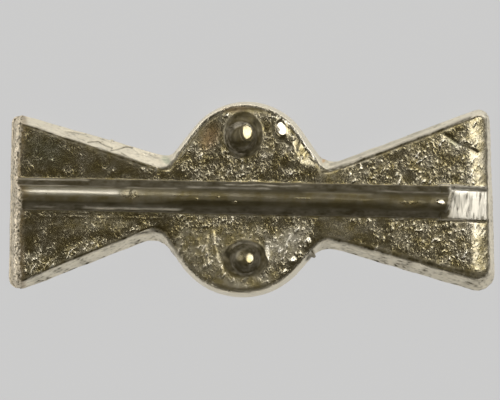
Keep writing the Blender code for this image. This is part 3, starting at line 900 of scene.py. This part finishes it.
def olive_mask(region, grit, tips):
    """Olive-brown tarnish of the face, thinner on the crystals' tips, and thinned as painted highlight near
    the lit right end, on the facets and along the rib's streak.
    """
    places = region.places
    olive = OLIVE_SHARE + wave(places, *OLIVE_CLOUDS) - OLIVE_OFF_TIPS * tips * np.clip(grit, 0.0, 1.0)
    olive = olive - OLIVE_OFF_END * region.right * seen_run(places[:, 0], *OLIVE_END_RUN)
    olive = olive - OLIVE_THIN * seen_spot(places, *OLIVE_THIN_SPOT)
    olive = olive - OLIVE_OFF_FACETS * strongest(places, FACET_SPOTS)
    olive = np.maximum(olive * (region.up * (1.0 - region.flat)), OLIVE_STUD * region.stud)
    olive = olive * (1.0 - OLIVE_OFF_STREAK * highlight_streak(region))
    olive = olive * (1.0 - region.side) * (1.0 - OLIVE_OFF_BAND * region.end_band)
    return np.clip(olive + OLIVE_SIDE * region.side, 0.0, 1.0)


# Copper-coloured and green-grey patches: place, half lengths, turn, soft edge, share
COPPER_PATCHES = (
    ((210, 137), 21, 13, 65, 0.9, 0.85),
    ((236, 109), 20, 4, 5, 0.8, 0.6),
    ((324, 160.5), 3, 2.2, 50, 0.6, 1.0),
)
COPPER_BY_BAND = 0.35
COPPER_BAND = 0.22
GREEN_PATCHES = (
    ((166, 160), 8, 5, -40, 0.7, 1.0),
    ((45, 150), 34, 22, -20, 0.9, 0.45),
    ((454, 143), 10, 6, -30, 0.8, 0.5),
)

# Satin patches, where the surface is dull and shines evenly: place, half lengths, turn, share
SATIN_PATCHES = (
    ((252, 284), 60, 12, 0, 0.40),
    ((284, 244), 34, 20, 35, 0.35),
    ((345, 229), 36, 12, -8, 0.25),
    ((245, 110), 44, 10, 0, 0.4),
    ((205, 138), 20, 18, 60, 0.35),
    ((95, 224), 60, 12, 3, 0.30),
    ((330, 175), 20, 10, 0, 0.3),
)
SATIN_GROUND = 0.08
SATIN_RIB = 0.12
SATIN_FLAT = 0.45
SATIN_STREAK = 0.45
SATIN_HAZE = 0.40
HAZE_BELOW_RIB = (-1.2, -2.6)
HAZE_INSIDE_RIM = (-1.0, 2.5)
HAZE_RIGHT = (-0.5, 3.0)
HAZE_LOST_RIGHT = 0.7
MOST_SATIN = 1.4

# The pale mask, and how uneven it and the satin are
PALE_BAND = 0.45
PALE_LEAST = 0.85
PALE_CLOUDS = 0.3
SATIN_CLOUDS = 0.15
WEAR_CLOUDS = (0.9, 109)


def satin_mask(region):
    """Where the metal is dull and shines evenly."""
    places = region.places
    satin = patches(places, SATIN_PATCHES) + SATIN_RIB * region.rib + SATIN_FLAT * region.flat
    satin = satin + SATIN_GROUND + SATIN_STREAK * highlight_streak(region)
    haze = smoothstep(*HAZE_BELOW_RIB, region.rib_place) * smoothstep(*HAZE_INSIDE_RIM, region.rim_depth)
    satin = satin + SATIN_HAZE * haze * (1.0 - HAZE_LOST_RIGHT * smoothstep(*HAZE_RIGHT, places[:, 0]))
    return satin * (1.0 - region.stud)


def paint(mesh, region, grit, tips):
    """Masks that the material reads."""
    places = region.places
    wear = grain(places, *WEAR_CLOUDS)
    pale = np.maximum(region.side, PALE_BAND * region.end_band) * region.top
    by_band = COPPER_BY_BAND * region.by_band + COPPER_BAND * region.end_band
    copper = np.maximum(strongest(places, COPPER_PATCHES), by_band)
    set_attribute(mesh, "grit", grit)
    # soil together with painted shade on the edges, rim, rib and studs
    set_attribute(mesh, "soil_and_shade", soil_and_shade_mask(region, grit, tips))
    set_attribute(mesh, "olive", olive_mask(region, grit, tips))
    set_attribute(mesh, "pale", np.clip(pale * (PALE_LEAST + PALE_CLOUDS * wear), 0.0, 1.0))
    set_attribute(mesh, "copper", np.clip(copper, 0.0, 1.0))
    set_attribute(mesh, "green", np.clip(strongest(places, GREEN_PATCHES), 0.0, 1.0))
    set_attribute(mesh, "satin", np.clip(satin_mask(region) * (1.0 + SATIN_CLOUDS * wear), 0.0, MOST_SATIN))


def mesh_object(name, mesh):
    made = bpy.data.objects.new(name, mesh)
    bpy.context.collection.objects.link(made)
    return made


def evaluated_mesh(source):
    """The object's mesh with its modifiers applied; the object itself is removed."""
    graph = bpy.context.evaluated_depsgraph_get()
    made = bpy.data.meshes.new_from_object(source.evaluated_get(graph))
    bpy.data.objects.remove(source, do_unlink=True)
    return made


def fine_copy(node):
    """The solid's own form as an even fine mesh, in millimetres."""
    shape = bmesh.new()
    shape.from_mesh(node.data)
    bmesh.ops.remove_doubles(shape, verts=shape.verts, dist=WELD)
    bmesh.ops.scale(shape, vec=(1.0 / MM,) * 3, verts=shape.verts)
    mesh = bpy.data.meshes.new("form")
    shape.to_mesh(mesh)
    shape.free()
    form = mesh_object("form", mesh)
    remesh = form.modifiers.new("even", "REMESH")
    remesh.mode = "VOXEL"
    remesh.voxel_size = VOXEL
    return evaluated_mesh(form)


def read_places(mesh):
    places = np.empty(len(mesh.vertices) * 3, dtype=np.float64)
    mesh.vertices.foreach_get("co", places)
    return places.reshape(-1, 3)


def read_normals(mesh):
    normals = np.empty(len(mesh.vertices) * 3, dtype=np.float32)
    mesh.vertex_normals.foreach_get("vector", normals)
    return normals.reshape(-1, 3).astype(np.float64)


def read_edges(mesh):
    edges = np.empty(len(mesh.edges) * 2, dtype=np.int64)
    mesh.edges.foreach_get("vertices", edges)
    return edges.reshape(-1, 2)


def write_places(mesh, places):
    mesh.vertices.foreach_set("co", places.astype(np.float32).ravel())
    mesh.update()


def set_attribute(mesh, name, values):
    attribute = mesh.attributes.new(name, "FLOAT", "POINT")
    attribute.data.foreach_set("value", values.astype(np.float32))


def relax(places, edges, rounds, share):
    """Evens the places of neighbouring vertices by a share each round, which rounds sharp edges."""
    ends = np.concatenate([edges, edges[:, ::-1]])
    count = np.bincount(ends[:, 0], minlength=len(places))[:, None]
    for _ in range(rounds):
        sums = [np.bincount(ends[:, 0], places[ends[:, 1], axis], len(places)) for axis in range(3)]
        places = places + share * (np.column_stack(sums) / count - places)
    return places


# Where the edges are worn: a little everywhere, fully on the right arm and at the left end
LEAST_WEAR = 0.05
WEAR_OFF_RIB = (1.10, 1.5)
WEAR_RIGHT_ARM = (9.0, 12.0)
WEAR_LEFT_END = (-28.0, -29.0)

# Facets worn into the studs' domes: middle in the picture, half width, half length and radius in millimetres;
# then their fall, the rim that gives their level, and where they blend in
STUD_FACETS = (
    ((247.0, 131.5), 0.68, 1.12, 6.5),
    ((249.5, 258.7), 0.48, 0.72, 5.0),
)
FACET_FALL = math.tan(math.radians(14.0))
FACET_RIM = 0.08
FACET_BLEND = (1.30, 0.80)
STUD_ROUNDED = (1.20, 1.05)


def edge_wear(places):
    """How far the edges are worn round, from 0 to 1."""
    x = places[:, 0]
    off_rib = smoothstep(*WEAR_OFF_RIB, np.abs((places[:, 1] - rib_middle(x)) / RIB_HALF))
    right_arm = smoothstep(*WEAR_RIGHT_ARM, x) * off_rib
    return np.clip(LEAST_WEAR + right_arm + smoothstep(*WEAR_LEFT_END, x), 0.0, 1.0)[:, None]


def round_studs(places):
    """How much the studs' faceted domes and collars are rounded: 1 on them, 0 elsewhere."""
    reach = np.minimum(stud_reach(places, UPPER_STUD), stud_reach(places, LOWER_STUD))
    return smoothstep(*STUD_ROUNDED, reach)[:, None]


def wear_stud(places, pixel, half_wide, half_long, bend):
    """Wears a nearly flat facet into a stud's dome."""
    away = places[:, :2] - np.array(seen(*pixel))
    reach = np.hypot(away[:, 0] / half_wide, away[:, 1] / half_long)
    facet = -FACET_FALL * (FACET_WAY[0] * away[:, 0] + FACET_WAY[1] * away[:, 1])
    facet = facet - (away ** 2).sum(axis=1) / (2.0 * bend)
    over = places[:, 2] - facet
    on_dome = places[:, 2] > DOME_FOOT
    level = over[(np.abs(reach - 1.0) < FACET_RIM) & on_dome].mean()
    places[:, 2] -= (over - level) * smoothstep(*FACET_BLEND, reach) * on_dome


def worn_form(mesh):
    """The fine form's places with its edges worn and its studs rounded, faceted and smoothed."""
    edges = read_edges(mesh)
    places = relax(read_places(mesh), edges, EDGE_ROUNDS, SMOOTHING)
    places = relax(places, edges, WORN_ROUNDS, SMOOTHING * edge_wear(places))
    places = relax(places, edges, STUD_ROUNDS, SMOOTHING * round_studs(places))
    for facet in STUD_FACETS:
        wear_stud(places, *facet)
    return relax(places, edges, FACET_ROUNDS, SMOOTHING * round_studs(places))


def build_skin(node, box):
    """The casting's visible skin, inside the solid's box."""
    mesh = fine_copy(node)
    places = worn_form(mesh)
    write_places(mesh, places)
    normals = read_normals(mesh)
    region = Regions(places, normals)
    grit = grit_map(region)
    tips = crystals(places)
    paint(mesh, region, grit, tips)
    write_places(mesh, places + normals * relief(region, grit, tips)[:, None])

    thick = mesh_object("thick", mesh)
    triangles = sum(len(face.vertices) - 2 for face in mesh.polygons)
    thin_out = thick.modifiers.new("thin_out", "DECIMATE")
    thin_out.ratio = min(1.0, MOST_TRIANGLES / triangles)
    thin_out.use_collapse_triangulate = True
    mesh = evaluated_mesh(thick)
    mesh.name = "casting"

    low, high = (np.array(corner) / MM for corner in box)
    write_places(mesh, np.clip(read_places(mesh), low, high) * MM)
    mesh.shade_smooth()
    print("skin:", triangles, "triangles thinned to", len(mesh.polygons))
    return mesh_object("casting", mesh)


class Nodes:
    """Short calls for a material's nodes."""

    def __init__(self, tree):
        self.tree = tree

    def add(self, kind, **values):
        node = self.tree.nodes.new(kind)
        for name, value in values.items():
            setattr(node, name, value)
        return node

    def link(self, source, target):
        self.tree.links.new(source, target)

    def feed(self, socket, value):
        if isinstance(value, bpy.types.NodeSocket):
            self.link(value, socket)
        else:
            socket.default_value = value

    def math(self, operation, a, b):
        node = self.add("ShaderNodeMath", operation=operation)
        self.feed(node.inputs[0], a)
        self.feed(node.inputs[1], b)
        return node.outputs[0]

    def mix(self, share, a, b):
        node = self.add("ShaderNodeMix", data_type="RGBA")
        for index, entry in ((0, share), (6, a), (7, b)):
            self.feed(node.inputs[index], entry)
        return node.outputs[2]

    def remap(self, value, low, high, to_low, to_high):
        node = self.add("ShaderNodeMapRange")
        for index, entry in enumerate((value, low, high, to_low, to_high)):
            self.feed(node.inputs[index], entry)
        return node.outputs[0]

    def noise(self, place, cell, detail, roughness):
        node = self.add("ShaderNodeTexNoise")
        self.link(place, node.inputs["Vector"])
        node.inputs["Scale"].default_value = 1.0 / (cell * MM)
        node.inputs["Detail"].default_value = detail
        node.inputs["Roughness"].default_value = roughness
        return node.outputs["Fac"]

    def attribute(self, name):
        return self.add("ShaderNodeAttribute", attribute_name=name).outputs["Fac"]

    def share(self, name, most):
        """An attribute times a number."""
        return self.math("MULTIPLY", self.attribute(name), most)


# Colours of the metal and of what lies on it; the soil colour also stands for painted shade
CLEAN = (0.98, 0.92, 0.78, 1.0)
OLIVE = (0.46, 0.380, 0.187, 1.0)
SOIL_AND_SHADE = (0.050, 0.040, 0.017, 1.0)
COPPER = (0.80, 0.53, 0.28, 1.0)
GREEN = (0.42, 0.47, 0.36, 1.0)
COPPER_MOST = 0.8
GREEN_MOST = 0.7

# The material's noises: cell in millimetres, detail, roughness; and how each is read: from, to, low, high
CLOUDS = (0.9, 4.0, 0.6)
OLIVE_BY_CLOUDS = (0.3, 0.7, 0.75, 1.2)
SPECKLE = (0.22, 2.0, 0.6)
ROUGH_BY_SPECKLE = (0.3, 0.7, 0.13, 0.21)
METAL_BY_PALE = (0.0, 1.0, 1.0, 0.35)
METAL_BY_SOIL_AND_SHADE = (0.15, 1.0, 1.0, 0.05)
ROUGHER_SOIL_AND_SHADE = 0.20
ROUGHER_SATIN = 0.22
ROUGHER_PALE = 0.20
GLOSS_LEVEL = 0.12

# The grain too fine for the mesh, with its heights in metres
BUMP_NOISE = (0.20, 1.0, 0.5)
BUMP_BY_NOISE = (0.54, 0.78, 0.0, 1.0)
BUMP_TURN = (0.0, 0.0, 0.7)
BUMP_SQUEEZE = (1.0, 0.6, 1.0)
BUMP_BY_GRIT = 0.042 * MM
BUMP_LEAST = 0.0010 * MM


def bronze():
    """The metal, its tarnish, and its soil with painted shade, by the skin's masks."""
    material = bpy.data.materials.new("bronze_casting")
    material.use_nodes = True
    nodes = Nodes(material.node_tree)
    shader = material.node_tree.nodes["Principled BSDF"]
    place = nodes.add("ShaderNodeTexCoord").outputs["Object"]
    cloud = nodes.noise(place, *CLOUDS)
    speckle = nodes.noise(place, *SPECKLE)
    soil_and_shade = nodes.attribute("soil_and_shade")
    pale = nodes.attribute("pale")
    olive = nodes.share("olive", nodes.remap(cloud, *OLIVE_BY_CLOUDS))
    colour = nodes.mix(olive, CLEAN, OLIVE)
    colour = nodes.mix(nodes.share("copper", COPPER_MOST), colour, COPPER)
    colour = nodes.mix(nodes.share("green", GREEN_MOST), colour, GREEN)
    # the soil colour darkens the metal both as soil and as painted shade
    nodes.link(nodes.mix(soil_and_shade, colour, SOIL_AND_SHADE), shader.inputs["Base Color"])
    bare = nodes.math("MULTIPLY", nodes.remap(pale, *METAL_BY_PALE), nodes.remap(soil_and_shade, *METAL_BY_SOIL_AND_SHADE))
    nodes.link(bare, shader.inputs["Metallic"])
    shader.inputs["Specular IOR Level"].default_value = GLOSS_LEVEL
    rough = nodes.remap(speckle, *ROUGH_BY_SPECKLE)
    rough = nodes.math("ADD", rough, nodes.math("MULTIPLY", soil_and_shade, ROUGHER_SOIL_AND_SHADE))
    rough = nodes.math("ADD", rough, nodes.share("satin", ROUGHER_SATIN))
    rough = nodes.math("ADD", rough, nodes.math("MULTIPLY", pale, ROUGHER_PALE))
    nodes.link(rough, shader.inputs["Roughness"])

    turned = nodes.add("ShaderNodeMapping")
    turned.inputs["Rotation"].default_value = BUMP_TURN
    turned.inputs["Scale"].default_value = BUMP_SQUEEZE
    nodes.link(place, turned.inputs["Vector"])
    fine = nodes.remap(nodes.noise(turned.outputs["Vector"], *BUMP_NOISE), *BUMP_BY_NOISE)
    amount = nodes.math("ADD", nodes.share("grit", BUMP_BY_GRIT), BUMP_LEAST)
    bump = nodes.add("ShaderNodeBump")
    bump.inputs["Strength"].default_value = 1.0
    bump.inputs["Distance"].default_value = 1.0
    nodes.link(nodes.math("MULTIPLY", fine, amount), bump.inputs["Height"])
    nodes.link(bump.outputs["Normal"], shader.inputs["Normal"])
    return material


# The table, in metres
TABLE_HALF = 3.0
TABLE_DROP = 2e-5
TABLE_COLOUR = (0.10, 0.10, 0.10, 1.0)
TABLE_GLOW = (1.0, 1.0, 1.0, 1.0)
TABLE_STRENGTH = 0.553


def floor():
    """A pale table that glows a little, as a light table does, so that hardly any shadow falls on it."""
    mesh = bpy.data.meshes.new("floor")
    signs = ((-1, -1), (1, -1), (1, 1), (-1, 1))
    corners = [(x * TABLE_HALF, y * TABLE_HALF, -TABLE_DROP) for x, y in signs]
    mesh.from_pydata(corners, [], [(0, 1, 2, 3)])
    material = bpy.data.materials.new("pale_table")
    material.use_nodes = True
    shader = material.node_tree.nodes["Principled BSDF"]
    shader.inputs["Base Color"].default_value = TABLE_COLOUR
    shader.inputs["Roughness"].default_value = 1.0
    shader.inputs["Specular IOR Level"].default_value = 0.0
    shader.inputs["Emission Color"].default_value = TABLE_GLOW
    shader.inputs["Emission Strength"].default_value = TABLE_STRENGTH
    mesh.materials.append(material)
    made = mesh_object("floor", mesh)
    made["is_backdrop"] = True


# Soft boxes that face the mount: name, tilt off the vertical and bearing from +X to +Y in degrees, then the
# distance, width and height in metres, and the radiance
LIGHTS = (
    ("right_box", 28.0, 22.0, 1.1, 0.40, 0.55, 2.8),
    ("left_box", 42.0, 175.0, 1.2, 0.8, 0.6, 1.0),
    ("far_strip", 17.0, 95.0, 1.1, 0.45, 0.23, 2.1),
)


def soft_light(name, tilt, bearing, distance, wide, high, radiance):
    light = bpy.data.lights.new(name, "AREA")
    light.shape = "RECTANGLE"
    light.size = wide
    light.size_y = high
    light.energy = radiance * math.pi * wide * high
    made = bpy.data.objects.new(name, light)
    bpy.context.collection.objects.link(made)
    lean = math.radians(tilt)
    turn = math.radians(bearing)
    direction = Vector((math.sin(lean) * math.cos(turn), math.sin(lean) * math.sin(turn), math.cos(lean)))
    made.location = direction * distance
    made.rotation_mode = "QUATERNION"
    made.rotation_quaternion = direction.to_track_quat("Z", "Y")


# The room: its colours, where its walls end, and how pale they are from the near side to the far one
ROOM = (0.040, 0.035, 0.021, 1.0)
WALLS = (2.6, 2.50, 2.28, 1.0)
WALLS_BY_HEIGHT = (0.20, 0.40, 1.0, 0.0)
WALLS_BY_DEPTH = (-0.5, 0.5, 0.5, 1.0)


def surroundings():
    """A dim room: dark overhead, with pale walls low down, paler on the far side than on the near one."""
    world = bpy.data.worlds.new("room")
    bpy.context.scene.world = world
    world.use_nodes = True
    nodes = Nodes(world.node_tree)
    background = world.node_tree.nodes["Background"]
    split = nodes.add("ShaderNodeSeparateXYZ")
    nodes.link(nodes.add("ShaderNodeTexCoord").outputs["Generated"], split.inputs[0])
    walls = nodes.remap(split.outputs[2], *WALLS_BY_HEIGHT)
    walls = nodes.math("MULTIPLY", walls, nodes.remap(split.outputs[1], *WALLS_BY_DEPTH))
    background.inputs["Strength"].default_value = 1.0
    nodes.link(nodes.mix(walls, ROOM, WALLS), background.inputs["Color"])


def camera():
    made = bpy.data.cameras.new("camera")
    made.sensor_width = SENSOR
    made.lens = SENSOR / PICTURE_WIDTH * CAMERA_HEIGHT
    made.clip_start = CLIP_START
    made.clip_end = CLIP_END
    eye = bpy.data.objects.new("camera", made)
    bpy.context.collection.objects.link(eye)
    eye.location = (PICTURE_MIDDLE[0] * MM, PICTURE_MIDDLE[1] * MM, CAMERA_HEIGHT * MM)
    bpy.context.scene.camera = eye


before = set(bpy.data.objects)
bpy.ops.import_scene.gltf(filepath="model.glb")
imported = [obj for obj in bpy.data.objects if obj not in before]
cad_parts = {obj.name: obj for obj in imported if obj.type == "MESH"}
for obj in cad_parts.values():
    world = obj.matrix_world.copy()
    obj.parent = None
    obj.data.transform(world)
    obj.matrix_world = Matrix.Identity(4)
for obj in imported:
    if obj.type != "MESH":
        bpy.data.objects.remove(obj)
cad_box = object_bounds()
skin = build_skin(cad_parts["cast_mount"], cad_box)
skin.data.materials.clear()
skin.data.materials.append(bronze())
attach(skin, "root")
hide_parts("cast_mount")
floor()
surroundings()
for light_row in LIGHTS:
    soft_light(*light_row)
camera()
bpy.context.scene.view_settings.view_transform = "Standard"
